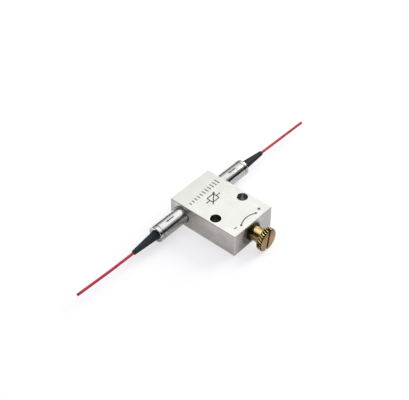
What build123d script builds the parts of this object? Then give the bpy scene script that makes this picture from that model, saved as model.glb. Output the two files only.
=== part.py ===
from build123d import *
from math import degrees, pi, radians, tan
import os

# Manual in-line fibre attenuator, in millimetres.
# Two collimators face each other across a small gap inside a metal block, so the light crosses the block
# as a free beam along Y. A brass thumb screw along X pushes a needle into that beam and dims it.
# The origin is on the bottom face, halfway between the two mounting holes, and +X points to the screw.

# Block
BLOCK_LENGTH = 26.5
BLOCK_WIDTH = 18.0
BLOCK_HEIGHT = 8.2
HOLES_TO_SCREW_FACE = 9.9
BEAM_TO_FAR_END = 4.65
AXIS_HEIGHT = 4.1
CORNER_BREAK = 0.15
EDGE_BREAK = 0.12
MOUTH_BREAK = 0.35

# Mounting holes, a clearance fit for M3 screws
MOUNT_HOLE_DIAMETER = 3.4
MOUNT_HOLE_SPACING = 13.0

# Thumb screw
NECK_DIAMETER = 5.0
NECK_SHOWING = 4.2
NECK_LENGTH = 7.5
SHANK_DIAMETER = 4.0
RELIEF_DIAMETER = 3.4
RELIEF_LENGTH = 0.8
SHANK_CHAMFER = 0.3
THREAD_PITCH = 0.5
TURNS_IN = 5
TURNS_OUT = 3
HEAD_DIAMETER = 7.9
HEAD_THICKNESS = 1.85
HEAD_BACK_CHAMFER = 0.45
HEAD_FRONT_CHAMFER = 0.33
KNURL_RIDGES = 28
KNURL_DEPTH = 0.26
KNURL_LAND = 0.12
KNURL_LEAN = 20.0
SLOT_WIDTH = 1.05
SLOT_DEPTH = 1.0
SLOT_LEAN = 11.0

# Needle, washer, spring and seal on the screw
NEEDLE_DIAMETER = 1.5
NEEDLE_POINT = 0.3
NEEDLE_TAPER = 2.0
NEEDLE_SOCKET = 3.0
NEEDLE_SHORT_OF_BEAM = 0.6
WASHER_DIAMETER = 3.2
WASHER_THICKNESS = 0.4
SPRING_WIRE = 0.3
SPRING_WIRE_SIDES = 6
SPRING_DIAMETER = 2.95
SPRING_TURNS = 6
SPRING_LENGTH = 5.84
SPRING_BORE = 3.5
SHOULDER_WALL = 0.9
SEAL_DIAMETER = 6.3
SEAL_LENGTH = 1.2
SEAL_PROUD = 0.3
SEAL_BREAK = 0.2

# Collimator barrels
BEAM_GAP = 3.4
BARREL_DIAMETER = 5.5
BARREL_REACH = 12.1
CAP_RIM = 1.4
CAP_SPIGOT_DIAMETER = 4.1
CAP_SPIGOT_LENGTH = 3.0
CAP_BREAK = 0.25
SEAM_BREAK = 0.08
SLEEVE_DIAMETER = 2.8
SLEEVE_LENGTH = 8.6
LENS_DIAMETER = 1.8
LENS_LENGTH = 4.4
LENS_RECESS = 0.1
LENS_TO_FERRULE = 0.2
FERRULE_LENGTH = 4.5
FERRULE_FUNNEL_LENGTH = 0.7
FERRULE_FUNNEL_DIAMETER = 0.9
POLISH_ANGLE = 8.0

# Boots
BOOT_LENGTH = 9.9
BOOT_BASE_DIAMETER = 3.3
BOOT_FLARE_LENGTH = 2.3
BOOT_FLARE_DIAMETER = 2.68
BOOT_TIP_DIAMETER = 1.56
BOOT_TIP_BREAK = 0.12
BOOT_STEM_DIAMETER = 2.3
BOOT_BARB_DIAMETER = 2.9
BOOT_BARB_LENGTH = 0.8

# Fibre and its loose tube
JACKET_DIAMETER = 0.9
JACKET_BORE = 0.5
COATING_DIAMETER = 0.25
GLASS_DIAMETER = 0.125
JACKET_TUCK = 6.0

# Clearances, all on the radius
RUNNING_FIT = 0.05
BOND_GAP = 0.03
BARREL_GAP = 0.06
GLASS_GAP = 0.02
END_ROOM = 0.3

# Bend and cut end of each pigtail, as distance out from the mouth of its barrel and sideways along X
PIGTAIL_ROUTES = {"input": [(12.8, 0.0), (31.7, 0.5)], "output": [(12.8, 0.0), (33.1, -0.6)]}
SIDES = {"input": 1, "output": -1}

# Places along the screw axis, as X
screw_face = HOLES_TO_SCREW_FACE
beam_x = screw_face - BLOCK_LENGTH + BEAM_TO_FAR_END
head_back = screw_face + NECK_SHOWING
head_front = head_back + HEAD_THICKNESS
neck_end = head_back - NECK_LENGTH
travel_in = THREAD_PITCH * TURNS_IN
travel_out = THREAD_PITCH * TURNS_OUT
bore_radius = BARREL_DIAMETER / 2 + BARREL_GAP
shoulder_x = beam_x + bore_radius + SHOULDER_WALL
washer_face = shoulder_x + SPRING_LENGTH
shank_end = washer_face + WASHER_THICKNESS
needle_tip = beam_x + NEEDLE_SHORT_OF_BEAM

# Places along each fibre axis, as the distance from the middle of the beam
barrel_start = BEAM_GAP / 2
barrel_mouth = BLOCK_WIDTH / 2 + BARREL_REACH
cap_seam = barrel_mouth - CAP_RIM
cap_start = cap_seam - CAP_SPIGOT_LENGTH
lens_start = barrel_start + LENS_RECESS
lens_end = lens_start + LENS_LENGTH
ferrule_start = lens_end + LENS_TO_FERRULE
ferrule_end = ferrule_start + FERRULE_LENGTH
pocket_start = cap_start - BOOT_BARB_LENGTH - END_ROOM
jacket_start = barrel_mouth - JACKET_TUCK

screw_axis = Axis((0, 0, AXIS_HEIGHT), (1, 0, 0))
screw_plane = Plane(origin=(0, 0, AXIS_HEIGHT), x_dir=(1, 0, 0), z_dir=(0, -1, 0))
head_plane = Plane(origin=(head_front, 0, AXIS_HEIGHT), x_dir=(0, 1, 0), z_dir=(1, 0, 0))


def fibre_axis(side):
    """Axis of one collimator, running outwards from the middle of the beam."""
    return Axis((beam_x, 0, AXIS_HEIGHT), (0, side, 0))


def fibre_plane(side):
    """Plane through one collimator's axis: x runs outwards along the fibre and y points up."""
    return Plane(origin=(beam_x, 0, AXIS_HEIGHT), x_dir=(0, side, 0), z_dir=(side, 0, 0))


def polish_plane(side, distance):
    """Slanted plane of the polished faces between a lens and its ferrule."""
    lean = radians(POLISH_ANGLE)
    centre = Vector(beam_x, side * distance, AXIS_HEIGHT)
    return Plane(origin=centre, x_dir=(1, 0, 0), z_dir=(0, side, tan(lean)))


def fibre_station(side, distance):
    """Plane across one collimator's axis at a distance from the middle of the beam, facing outwards."""
    return Plane(origin=(beam_x, side * distance, AXIS_HEIGHT), z_dir=(0, side, 0))


def pigtail_route(name, start):
    """Centre line of one pigtail from a hidden start: out through the boot, then one slight natural bend."""
    side = SIDES[name]
    bend, cut_end = [
        Vector(beam_x + aside, side * (barrel_mouth + out), AXIS_HEIGHT)
        for out, aside in PIGTAIL_ROUTES[name]
    ]
    tucked_end = fibre_station(side, jacket_start).origin
    shorter_run = min((bend - tucked_end).length, (cut_end - bend).length)
    half_turn = radians((bend - tucked_end).get_angle(cut_end - bend)) / 2
    bend_radius = 0.45 * shorter_run / tan(half_turn)
    with BuildLine() as route:
        FilletPolyline(fibre_station(side, start).origin, bend, cut_end, radius=bend_radius)
    return route.wires()[0]


# Block, bored through for the barrels and stepped in from the right for the screw
with BuildPart() as housing:
    with BuildSketch(Plane.XY):
        with Locations((screw_face - BLOCK_LENGTH / 2, 0)):
            Rectangle(BLOCK_LENGTH, BLOCK_WIDTH)
    extrude(amount=BLOCK_HEIGHT)
    chamfer(housing.edges().filter_by(Axis.Z), CORNER_BREAK)
    rims = housing.faces().filter_by(Axis.Z).edges()
    chamfer(rims, EDGE_BREAK)
    with Locations(Plane.XY.offset(BLOCK_HEIGHT)):
        with GridLocations(MOUNT_HOLE_SPACING, MOUNT_HOLE_SPACING, 1, 2):
            Hole(MOUNT_HOLE_DIAMETER / 2, depth=BLOCK_HEIGHT)
    hole_rims = housing.faces().filter_by(Axis.Z).edges().filter_by(GeomType.CIRCLE)
    chamfer(hole_rims, EDGE_BREAK)
    with Locations(Plane(origin=(beam_x, -BLOCK_WIDTH / 2, AXIS_HEIGHT), z_dir=(0, -1, 0))):
        Hole(bore_radius, depth=BLOCK_WIDTH)
    bore_rims = housing.faces().filter_by(Axis.Y).edges().filter_by(GeomType.CIRCLE)
    chamfer(bore_rims, MOUTH_BREAK)
    with Locations(Plane(origin=(screw_face, 0, AXIS_HEIGHT), z_dir=(1, 0, 0))):
        Hole(SEAL_DIAMETER / 2 + BOND_GAP, depth=SEAL_LENGTH - SEAL_PROUD)
        Hole(NECK_DIAMETER / 2 + RUNNING_FIT, depth=screw_face - neck_end + travel_in + END_ROOM)
        Hole(SHANK_DIAMETER / 2 + RUNNING_FIT, depth=screw_face - shank_end + travel_in + END_ROOM)
        Hole(SPRING_BORE / 2, depth=screw_face - shoulder_x)
        Hole(NEEDLE_DIAMETER / 2 + 2 * RUNNING_FIT, depth=screw_face - beam_x)
housing.part.label = "housing"

# One groove of the knurl, on an axis along Z: a V that leans like a coarse thread as it crosses the rim
groove_half = pi * HEAD_DIAMETER / KNURL_RIDGES / 2 - KNURL_LAND
groove_turn = degrees(HEAD_THICKNESS * tan(radians(KNURL_LEAN)) / (HEAD_DIAMETER / 2))
with BuildPart() as knurl_groove:
    for depth, turn in ((0, 0), (-HEAD_THICKNESS, -groove_turn)):
        with BuildSketch(Plane.XY.offset(depth).rotated((0, 0, turn))):
            with Locations((HEAD_DIAMETER / 2, 0)):
                Polygon(
                    (-KNURL_DEPTH, 0),
                    (KNURL_DEPTH, -groove_half * 2),
                    (KNURL_DEPTH, groove_half * 2),
                    align=None,
                )
    loft(ruled=True)

# Thumb screw: turned in one piece, with a leaning knurl and a screwdriver slot
with BuildPart() as thumb_screw:
    with BuildSketch(screw_plane):
        with BuildLine():
            Polyline(
                (shank_end, 0),
                (shank_end, SHANK_DIAMETER / 2 - SHANK_CHAMFER),
                (shank_end + SHANK_CHAMFER, SHANK_DIAMETER / 2),
                (neck_end - RELIEF_LENGTH, SHANK_DIAMETER / 2),
                (neck_end - RELIEF_LENGTH, RELIEF_DIAMETER / 2),
                (neck_end, RELIEF_DIAMETER / 2),
                (neck_end, NECK_DIAMETER / 2),
                (head_back, NECK_DIAMETER / 2),
                (head_back, HEAD_DIAMETER / 2 - HEAD_BACK_CHAMFER),
                (head_back + HEAD_BACK_CHAMFER, HEAD_DIAMETER / 2),
                (head_front - HEAD_FRONT_CHAMFER, HEAD_DIAMETER / 2),
                (head_front, HEAD_DIAMETER / 2 - HEAD_FRONT_CHAMFER),
                (head_front, 0),
                close=True,
            )
        make_face()
    revolve(axis=screw_axis)
    with Locations(head_plane):
        with PolarLocations(0, KNURL_RIDGES):
            add(knurl_groove.part, mode=Mode.SUBTRACT)
    with BuildSketch(head_plane):
        Rectangle(SLOT_WIDTH, 2 * HEAD_DIAMETER, rotation=-SLOT_LEAN)
    extrude(amount=-SLOT_DEPTH, mode=Mode.SUBTRACT)
    with Locations(Plane(origin=(shank_end, 0, AXIS_HEIGHT), z_dir=(-1, 0, 0))):
        Hole(NEEDLE_DIAMETER / 2 + BOND_GAP, depth=NEEDLE_SOCKET)
thumb_screw.part.label = "thumb_screw"

# Needle: bonded in the screw's nose, with a long taper that enters the beam
with BuildPart() as blocking_needle:
    with BuildSketch(screw_plane):
        with BuildLine():
            Polyline(
                (needle_tip, 0),
                (needle_tip, NEEDLE_POINT / 2),
                (needle_tip + NEEDLE_TAPER, NEEDLE_DIAMETER / 2),
                (shank_end + NEEDLE_SOCKET, NEEDLE_DIAMETER / 2),
                (shank_end + NEEDLE_SOCKET, 0),
                close=True,
            )
        make_face()
    revolve(axis=screw_axis)
blocking_needle.part.label = "blocking_needle"

# Thrust washer between the turning screw and the spring
with BuildPart() as thrust_washer:
    with BuildSketch(Plane(origin=(washer_face, 0, AXIS_HEIGHT), z_dir=(1, 0, 0))):
        Circle(WASHER_DIAMETER / 2)
        Circle(NEEDLE_DIAMETER / 2 + RUNNING_FIT, mode=Mode.SUBTRACT)
    extrude(amount=WASHER_THICKNESS)
thrust_washer.part.label = "thrust_washer"

# Anti-backlash spring, with ground ends on the block's shoulder and on the washer.
# Its wire is drawn with flats, which keeps the coil light.
spring_pitch = SPRING_LENGTH / SPRING_TURNS
spring_seat = Plane(origin=(shoulder_x, 0, AXIS_HEIGHT), z_dir=(1, 0, 0))
with BuildPart() as return_spring:
    with BuildLine():
        coil = Helix(
            pitch=spring_pitch,
            height=SPRING_LENGTH,
            radius=(SPRING_DIAMETER - SPRING_WIRE) / 2,
            center=spring_seat.origin,
            direction=spring_seat.z_dir,
        )
    with BuildSketch(Plane(origin=coil @ 0, z_dir=coil % 0)):
        RegularPolygon(SPRING_WIRE / 2, SPRING_WIRE_SIDES)
    sweep(path=coil)
    split(bisect_by=spring_seat, keep=Keep.TOP)
    split(bisect_by=spring_seat.offset(SPRING_LENGTH), keep=Keep.BOTTOM)
return_spring.part.label = "return_spring"

# Rubber seal that wipes the neck, standing a little proud of the block
with BuildPart() as wiper_seal:
    with BuildSketch(Plane(origin=(screw_face + SEAL_PROUD, 0, AXIS_HEIGHT), z_dir=(1, 0, 0))):
        Circle(SEAL_DIAMETER / 2)
        Circle(NECK_DIAMETER / 2 + RUNNING_FIT, mode=Mode.SUBTRACT)
    extrude(amount=-SEAL_LENGTH)
    lips = wiper_seal.faces().sort_by(Axis.X)[-1].edges()
    chamfer(lips, SEAL_BREAK)
wiper_seal.part.label = "wiper_seal"


def make_barrel(side):
    """Steel tube of a collimator: a close bore for the glass and a wider pocket for the end cap."""
    radius = BARREL_DIAMETER / 2
    bore = SLEEVE_DIAMETER / 2 + BOND_GAP
    pocket = CAP_SPIGOT_DIAMETER / 2 + BOND_GAP
    with BuildPart() as barrel:
        with BuildSketch(fibre_plane(side)):
            with BuildLine():
                Polyline(
                    (barrel_start, bore),
                    (barrel_start, radius),
                    (cap_seam, radius),
                    (cap_seam, pocket),
                    (pocket_start, pocket),
                    (pocket_start, bore),
                    close=True,
                )
            make_face()
        revolve(axis=fibre_axis(side))
        outer_rims = barrel.edges().filter_by(GeomType.CIRCLE).group_by(SortBy.RADIUS)[-1]
        chamfer(outer_rims, SEAM_BREAK)
    return barrel.part


def make_end_cap(side):
    """Steel plug in the end of a barrel, bored for the boot's stem."""
    radius = BARREL_DIAMETER / 2
    bore = BOOT_STEM_DIAMETER / 2 + BOND_GAP
    with BuildPart() as end_cap:
        with BuildSketch(fibre_plane(side)):
            with BuildLine():
                Polyline(
                    (cap_start, bore),
                    (cap_start, CAP_SPIGOT_DIAMETER / 2),
                    (cap_seam, CAP_SPIGOT_DIAMETER / 2),
                    (cap_seam, radius),
                    (barrel_mouth, radius),
                    (barrel_mouth, bore),
                    close=True,
                )
            make_face()
        revolve(axis=fibre_axis(side))
        rims = end_cap.edges().filter_by(GeomType.CIRCLE).group_by(SortBy.RADIUS)[-1]
        chamfer(rims.sort_by(fibre_axis(side))[0], SEAM_BREAK)
        outer_rim = end_cap.faces().sort_by(fibre_axis(side))[-1].outer_wire().edges()
        chamfer(outer_rim, CAP_BREAK)
    return end_cap.part


def make_boot(side):
    """Rubber strain relief: a flared cone outside, a stem through the cap and a barb behind it."""
    bore = JACKET_DIAMETER / 2 + BOND_GAP
    stem = BOOT_STEM_DIAMETER / 2
    barb_back = cap_start - BOOT_BARB_LENGTH
    flare = (barrel_mouth + BOOT_FLARE_LENGTH, BOOT_FLARE_DIAMETER / 2)
    tip = (barrel_mouth + BOOT_LENGTH, BOOT_TIP_DIAMETER / 2)
    base = (barrel_mouth, BOOT_BASE_DIAMETER / 2)
    with BuildPart() as boot:
        with BuildSketch(fibre_plane(side)):
            with BuildLine():
                Polyline(
                    (tip[0], bore),
                    (barb_back, bore),
                    (barb_back, stem),
                    (cap_start, BOOT_BARB_DIAMETER / 2),
                    (cap_start, stem),
                    (barrel_mouth, stem),
                    base,
                )
                TangentArc(flare, base, tangent=(flare[0] - tip[0], flare[1] - tip[1]))
                Polyline(flare, tip, (tip[0], bore))
            make_face()
        revolve(axis=fibre_axis(side))
        tip_rim = boot.faces().sort_by(fibre_axis(side))[-1].outer_wire().edges()
        chamfer(tip_rim, BOOT_TIP_BREAK)
    return boot.part


def make_glass_sleeve(side):
    """Glass tube that lines up the lens with the ferrule."""
    with BuildPart() as sleeve:
        with BuildSketch(fibre_plane(side)):
            with BuildLine():
                Polyline(
                    (barrel_start, LENS_DIAMETER / 2 + GLASS_GAP),
                    (barrel_start, SLEEVE_DIAMETER / 2),
                    (barrel_start + SLEEVE_LENGTH, SLEEVE_DIAMETER / 2),
                    (barrel_start + SLEEVE_LENGTH, LENS_DIAMETER / 2 + GLASS_GAP),
                    close=True,
                )
            make_face()
        revolve(axis=fibre_axis(side))
    return sleeve.part


def make_lens(side):
    """Rod lens, flat towards the beam and slanted towards the ferrule."""
    with BuildPart() as lens:
        with BuildSketch(fibre_station(side, lens_start)):
            Circle(LENS_DIAMETER / 2)
        extrude(amount=LENS_LENGTH + LENS_DIAMETER)
        split(bisect_by=polish_plane(side, lens_end), keep=Keep.BOTTOM)
    return lens.part


def make_ferrule(side):
    """Glass capillary that holds the bare fibre, slanted towards the lens, with a funnel behind."""
    bore = GLASS_DIAMETER / 2 + GLASS_GAP
    with BuildPart() as ferrule:
        with BuildSketch(fibre_station(side, ferrule_end)):
            Circle(LENS_DIAMETER / 2)
            Circle(bore, mode=Mode.SUBTRACT)
        extrude(amount=-FERRULE_LENGTH - LENS_DIAMETER)
        with BuildSketch(fibre_plane(side)):
            with BuildLine():
                Polyline(
                    (ferrule_end - FERRULE_FUNNEL_LENGTH, 0),
                    (ferrule_end - FERRULE_FUNNEL_LENGTH, bore),
                    (ferrule_end, FERRULE_FUNNEL_DIAMETER / 2),
                    (ferrule_end, 0),
                    close=True,
                )
            make_face()
        revolve(axis=fibre_axis(side), mode=Mode.SUBTRACT)
        split(bisect_by=polish_plane(side, ferrule_start), keep=Keep.TOP)
    return ferrule.part


def make_jacket(name):
    """Loose tube of a pigtail."""
    route = pigtail_route(name, jacket_start)
    with BuildPart() as jacket:
        with BuildSketch(fibre_station(SIDES[name], jacket_start)):
            Circle(JACKET_DIAMETER / 2)
            Circle(JACKET_BORE / 2, mode=Mode.SUBTRACT)
        sweep(path=route)
    section = pi * (JACKET_DIAMETER**2 - JACKET_BORE**2) / 4
    bend = route.edges().filter_by(GeomType.CIRCLE)[0]
    print(name, "jacket", round(route.length, 2), "mm long, bent to a radius of", round(bend.radius), "mm")
    print("  volume over section times length:", round(jacket.part.volume / (section * route.length), 4))
    return jacket.part


def make_fibre(name):
    """Optical fibre: bare glass in the ferrule, then coated along the whole of its jacket."""
    coating_start = ferrule_end - FERRULE_FUNNEL_LENGTH / 2
    glass_end = fibre_station(SIDES[name], coating_start)
    with BuildPart() as fibre:
        with BuildSketch(glass_end):
            Circle(COATING_DIAMETER / 2)
        sweep(path=pigtail_route(name, coating_start))
        with BuildSketch(glass_end):
            Circle(GLASS_DIAMETER / 2)
        extrude(amount=ferrule_start - coating_start)
    return fibre.part


os.makedirs("parts", exist_ok=True)
for piece in (housing, thumb_screw, blocking_needle, thrust_washer, return_spring, wiper_seal):
    export_step(piece.part, f"parts/{piece.part.label}.step")

for name, side in SIDES.items():
    collimator = {
        "barrel": make_barrel(side),
        "end_cap": make_end_cap(side),
        "boot": make_boot(side),
        "glass_sleeve": make_glass_sleeve(side),
        "lens": make_lens(side),
        "ferrule": make_ferrule(side),
        "jacket": make_jacket(name),
        "fibre": make_fibre(name),
    }
    for piece_name, piece in collimator.items():
        piece.label = f"{name}_{piece_name}"
        export_step(piece, f"parts/{piece.label}.step")

lead = THREAD_PITCH / (2 * pi)
print("screw advances", round(lead, 6), "mm per radian;", "travel", -travel_in, "to", travel_out, "mm")
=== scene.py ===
# %% [markdown]
# A manual in-line fibre attenuator. Light leaves one optical fibre, crosses a metal block as a free beam
# and enters a second fibre. A brass thumb screw pushes a needle into that beam, and so dims it.
# The block, the needle and the glass parts come straight from the solid model. The turned, moulded and
# drawn parts are made again here as smooth surfaces, because a camera this close sees every facet.

import bmesh
import bpy
import numpy as np
from mathutils import Matrix, Vector


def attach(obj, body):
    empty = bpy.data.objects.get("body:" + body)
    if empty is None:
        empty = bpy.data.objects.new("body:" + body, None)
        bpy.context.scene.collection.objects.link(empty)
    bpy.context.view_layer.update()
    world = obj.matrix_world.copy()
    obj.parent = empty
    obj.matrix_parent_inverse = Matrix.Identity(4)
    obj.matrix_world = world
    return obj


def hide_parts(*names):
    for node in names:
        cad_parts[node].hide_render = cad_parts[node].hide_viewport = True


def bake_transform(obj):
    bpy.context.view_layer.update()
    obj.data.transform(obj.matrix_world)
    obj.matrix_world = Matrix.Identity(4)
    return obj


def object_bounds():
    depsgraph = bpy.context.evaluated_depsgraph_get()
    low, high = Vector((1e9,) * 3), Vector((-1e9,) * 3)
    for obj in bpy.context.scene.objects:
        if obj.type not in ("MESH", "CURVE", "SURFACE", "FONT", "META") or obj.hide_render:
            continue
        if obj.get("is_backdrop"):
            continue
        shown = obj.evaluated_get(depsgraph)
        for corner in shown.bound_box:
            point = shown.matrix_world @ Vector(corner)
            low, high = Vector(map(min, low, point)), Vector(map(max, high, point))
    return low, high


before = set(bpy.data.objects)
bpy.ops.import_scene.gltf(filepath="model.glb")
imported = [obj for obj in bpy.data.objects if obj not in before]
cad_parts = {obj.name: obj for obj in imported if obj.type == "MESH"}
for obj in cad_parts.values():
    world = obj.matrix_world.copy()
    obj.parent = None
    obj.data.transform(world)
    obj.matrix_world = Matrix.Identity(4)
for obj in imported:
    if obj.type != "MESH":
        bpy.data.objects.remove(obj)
solid_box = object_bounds()
print("nodes:", len(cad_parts))

# %% [markdown]
# The sizes of this object, in millimetres as a maker would read them off a drawing. The beam runs along Y,
# the thumb screw along X, and both axes lie at the same height. Only the last step of each surface turns
# millimetres into Blender's metres.

# %% Sizes
MM = 0.001
BEAM_X = -11.95
AXIS_Z = 4.1
BLOCK_TOP = 8.2
SCREW_FACE_X = 9.9
HOLE_Y, HOLE_RADIUS = 6.5, 1.7
BARREL_RADIUS = 2.75
CAP_SEAM = 19.7
MOUTH = 21.1
JACKET_RADIUS, JACKET_BORE = 0.45, 0.25
COATING_RADIUS, GLASS_RADIUS = 0.125, 0.0625
NECK_RADIUS = 2.5
HEAD_BACK, HEAD_FACE, HEAD_RADIUS = 14.1, 15.95, 3.95
SIDES = {"input": 1, "output": -1}

# %% [markdown]
# The camera comes first, since the cords are judged by what it sees. It was solved from the block's edges,
# the two holes and the barrels: a short telephoto view from the front right, about 43 degrees above the
# table. Its matrix is put together from three directions: right, up and back.


# %% Camera
def in_scene(name, data):
    """An object that shows this data, linked into the scene."""
    made = bpy.data.objects.new(name, data)
    bpy.context.scene.collection.objects.link(made)
    return made


azimuth, elevation, roll = np.radians([40.96, 43.315, 0.119])
level = np.array([np.cos(azimuth), np.sin(azimuth), 0.0])
towards = np.array([np.sin(azimuth), -np.cos(azimuth), 0.0])
back = towards * np.cos(elevation) + np.array([0.0, 0.0, np.sin(elevation)])
plumb = np.cross(back, level)
right = level * np.cos(roll) + plumb * np.sin(roll)
up = plumb * np.cos(roll) - level * np.sin(roll)
look_at = np.array([-10.964, 0.884, 4.0])

SENSOR_WIDTH = 36.0
FOCAL_PIXELS, PICTURE_PIXELS = 1085.05, 409
CAMERA_DISTANCE = 348.23
camera_data = bpy.data.cameras.new("photo_camera")
camera_data.sensor_width = SENSOR_WIDTH
camera_data.lens = SENSOR_WIDTH * FOCAL_PIXELS / PICTURE_PIXELS
camera_data.clip_start = 0.01
camera_data.clip_end = 50.0
camera = in_scene("photo_camera", camera_data)
facing = Matrix(np.stack([right, up, back], axis=1).tolist()).to_4x4()
camera.matrix_world = Matrix.Translation(Vector((look_at + CAMERA_DISTANCE * back) * MM)) @ facing
bpy.context.scene.camera = camera
print("camera lens", round(camera_data.lens, 1), "mm")

# %% [markdown]
# Every new piece is a grid of points: rows one way, columns the other. One helper turns such a grid into a
# mesh. It joins the last column to the first, and where it is asked to the last row to the first, so tubes
# and rings close without a seam. Rows that shrink to a point are welded, which closes the poles too.


# %% From a grid of points to a piece
SMOOTH_BELOW = 32


def piece_from_grid(name, points, body=None, loop_rows=False):
    """Mesh of the quads between neighbouring rows and columns of a (rows, columns, 3) array in mm."""
    rows, columns = points.shape[:2]
    index = np.arange(rows * columns).reshape(rows, columns)
    if loop_rows:
        index = np.vstack([index, index[:1]])
    index = np.hstack([index, index[:, :1]])
    quads = np.stack([index[:-1, :-1], index[1:, :-1], index[1:, 1:], index[:-1, 1:]], axis=-1)
    mesh = bpy.data.meshes.new(name)
    mesh.from_pydata((points.reshape(-1, 3) * MM).tolist(), [], quads.reshape(-1, 4).tolist())
    finish_mesh(mesh)
    piece = in_scene(name, mesh)
    if body:
        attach(piece, body)
    print(name, len(mesh.polygons), "faces")
    return piece


def finish_mesh(mesh):
    """Welds the points that coincide, turns every face outwards, and shades smooth across shallow edges."""
    shell = bmesh.new()
    shell.from_mesh(mesh)
    bmesh.ops.remove_doubles(shell, verts=shell.verts, dist=1e-7)
    bmesh.ops.dissolve_degenerate(shell, edges=shell.edges, dist=1e-8)
    bmesh.ops.recalc_face_normals(shell, faces=shell.faces)
    shell.to_mesh(mesh)
    shell.free()
    mesh.shade_smooth()
    mesh.set_sharp_from_angle(angle=np.radians(SMOOTH_BELOW))


def with_ends(rings):
    """Closes an open tube: its first and last rings are repeated, shrunk to their middles."""
    first = rings[:1].mean(axis=1, keepdims=True) + 0 * rings[:1]
    last = rings[-1:].mean(axis=1, keepdims=True) + 0 * rings[:1]
    return np.concatenate([first, rings, last])


# %% [markdown]
# A turned part starts as half of its outline: distances along the axis, and radii. No real corner is
# perfectly sharp, so each corner gets its own small rounding, which is what catches a thin line of light.


# %% Turned parts
EASE_STEPS = 6


def eased(corners, easing):
    """Closed outline whose corners are rounded. Each corner P becomes the curve
    (1-t)^2 A + 2t(1-t) P + t^2 B, where A and B lie its easing away from P along the two sides."""
    corners = np.asarray(corners, float)
    reach = np.asarray(easing, float)[:, None]
    towards_last = np.roll(corners, 1, axis=0) - corners
    towards_next = np.roll(corners, -1, axis=0) - corners
    towards_last /= np.linalg.norm(towards_last, axis=1)[:, None]
    towards_next /= np.linalg.norm(towards_next, axis=1)[:, None]
    t = np.linspace(0, 1, EASE_STEPS)[None, :, None]
    first = (corners + towards_last * reach)[:, None]
    last = (corners + towards_next * reach)[:, None]
    curve = (1 - t) ** 2 * first + 2 * t * (1 - t) * corners[:, None] + t**2 * last
    return curve.reshape(-1, 2)


def turned(outline, columns, centre, axis, side_on, twist=None):
    """Surface of revolution: the point at distance d and angle a is
    centre + d axis + r (cos(a) side_on + sin(a) (axis x side_on)). A twist adds to a, row by row."""
    angle = np.arange(columns) * 2 * np.pi / columns
    angle = angle[None, :] + (0 if twist is None else twist[:, None])
    across = np.cross(axis, side_on)
    ring = np.cos(angle)[..., None] * side_on + np.sin(angle)[..., None] * across
    return centre + outline[:, :1, None] * axis + outline[:, 1, None, None] * ring


def along_fibre(outline, side, columns=128):
    """The surface turned about one collimator's axis, with distances out from the beam's middle."""
    return turned(outline, columns, (BEAM_X, 0, AXIS_Z), np.array([0, side, 0]), np.array([0, 0, 1]))


# %% [markdown]
# The pigtails are loose tubes of 0.9 mm, stiff enough to stand out from their boots, with the slight bend
# that a tube off a reel keeps. The photograph shows them from the boots to their cut ends, so that is
# their length. Each line is one NURBS spline led by a few points, given as distance out from the mouth of
# the barrel, distance aside and height. It starts straight, in the barrel, and then sags with the boot.

# %% Pigtail lines
PIGTAIL_POINTS = {
    "input": [(6.5, 0.0, -0.24), (12.8, 0.0, -0.44), (21.7, 0.12, -0.5), (31.7, 0.42, -0.36)],
    "output": [(6.5, 0.0, -0.2), (12.8, 0.0, -0.36), (22.5, -0.15, -0.36), (33.1, -0.6, -0.34)],
}
IN_BARREL = [(-6.0, 0.0, 0.0), (1.5, 0.0, 0.0)]


def spline_points(name, control):
    """Points along the NURBS spline with these control points, in millimetres, as Blender works it out."""
    curve = bpy.data.curves.new(name, "CURVE")
    curve.dimensions = "3D"
    curve.resolution_u = 24
    spline = curve.splines.new("NURBS")
    spline.points.add(len(control) - 1)
    spline.points.foreach_set("co", np.hstack([control, np.ones((len(control), 1))]).ravel())
    spline.order_u = 3
    spline.use_endpoint_u = True
    carrier = bpy.data.objects.new(name, curve)
    mesh = bpy.data.meshes.new_from_object(carrier)
    line = np.empty(len(mesh.vertices) * 3)
    mesh.vertices.foreach_get("co", line)
    bpy.data.objects.remove(carrier)
    bpy.data.curves.remove(curve)
    bpy.data.meshes.remove(mesh)
    return line.reshape(-1, 3)


def length_of(line):
    """Sum of the distances between neighbouring points."""
    return float(np.linalg.norm(np.diff(line, axis=0), axis=1).sum())


pigtail_lines = {}
for name, side in SIDES.items():
    out, aside, lift = np.array(IN_BARREL + PIGTAIL_POINTS[name]).T
    control = np.stack([BEAM_X + aside, side * (MOUTH + out), AXIS_Z + lift], axis=1)
    pigtail_lines[name] = spline_points(f"{name}_line", control)
    print(name, "pigtail", round(length_of(pigtail_lines[name]), 2), "mm long")

# %% [markdown]
# A tube is a ring of points carried along its line. Going out along the outer radius and back along the
# inner one, and joining the ends, gives a tube with a wall and an open bore in a single closed surface.
# The cut end shows that bore, with the coated fibre inside it.


# %% Tubes on a line
def carried(line, radii, columns=32, lie=(0.0, 0.0, 1.0)):
    """Rings about each point of a line: the point plus r (cos(a) u + sin(a) v), where u and v are at right
    angles to the line's direction there."""
    direction = np.gradient(line, axis=0)
    direction /= np.linalg.norm(direction, axis=1)[:, None]
    across = np.cross(direction, lie)
    across /= np.linalg.norm(across, axis=1)[:, None]
    over = np.cross(across, direction)
    angle = np.arange(columns) * 2 * np.pi / columns
    ring = np.cos(angle)[None, :, None] * over[:, None] + np.sin(angle)[None, :, None] * across[:, None]
    return line[:, None] + radii[:, None, None] * ring


def make_jacket(name):
    """Loose tube of one pigtail."""
    line = pigtail_lines[name]
    outside = carried(line, np.full(len(line), JACKET_RADIUS))
    inside = carried(line, np.full(len(line), JACKET_BORE))[::-1]
    walls = np.concatenate([outside, inside])
    jacket = piece_from_grid(f"{name}_pigtail_jacket", walls, "block", loop_rows=True)
    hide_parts(f"{name}_jacket")
    return jacket


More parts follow.
